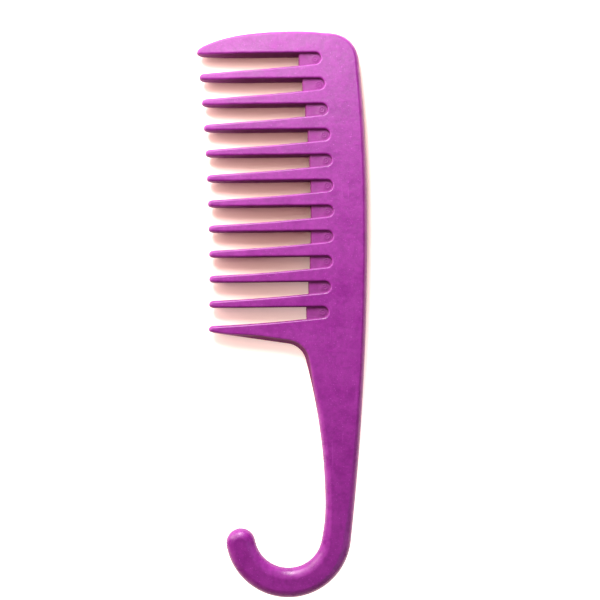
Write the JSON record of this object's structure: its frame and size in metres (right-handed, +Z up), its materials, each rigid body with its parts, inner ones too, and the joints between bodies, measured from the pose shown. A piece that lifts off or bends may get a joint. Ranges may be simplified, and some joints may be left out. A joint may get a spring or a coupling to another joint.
{
  "type": "wide tooth comb",
  "caption": "Wide tooth detangling comb, moulded in one colour, with long tapered teeth on one side of a curved spine and a slim handle that ends in a hook.",
  "frame": {"origin": "under the middle of the comb's bounding box, at the height that it lies on", "axes": "+Y along the comb from the hook to the top of the head, +X from the tooth tips to the back of the spine, +Z up out of the front face through the thickness"},
  "size_m": [0.0716, 0.241, 0.0072],
  "materials": {
    "purple_plastic": "satin, with a fine moulded grain"
  },
  "bodies": {
    "root": {"spine": "purple_plastic", "handle": "purple_plastic", "hook": "purple_plastic", "tooth_01": "purple_plastic", "tooth_02": "purple_plastic", "tooth_03": "purple_plastic", "tooth_04": "purple_plastic", "tooth_05": "purple_plastic", "tooth_06": "purple_plastic", "tooth_07": "purple_plastic", "tooth_08": "purple_plastic", "tooth_09": "purple_plastic", "tooth_10": "purple_plastic", "tooth_11": "purple_plastic", "tooth_12": "purple_plastic", "root_web_01": "purple_plastic", "root_web_02": "purple_plastic", "root_web_03": "purple_plastic", "root_web_04": "purple_plastic", "root_web_05": "purple_plastic", "root_web_06": "purple_plastic", "root_web_07": "purple_plastic", "root_web_08": "purple_plastic", "root_web_09": "purple_plastic", "root_web_10": "purple_plastic", "root_web_11": "purple_plastic"}
  },
  "joints": []
}
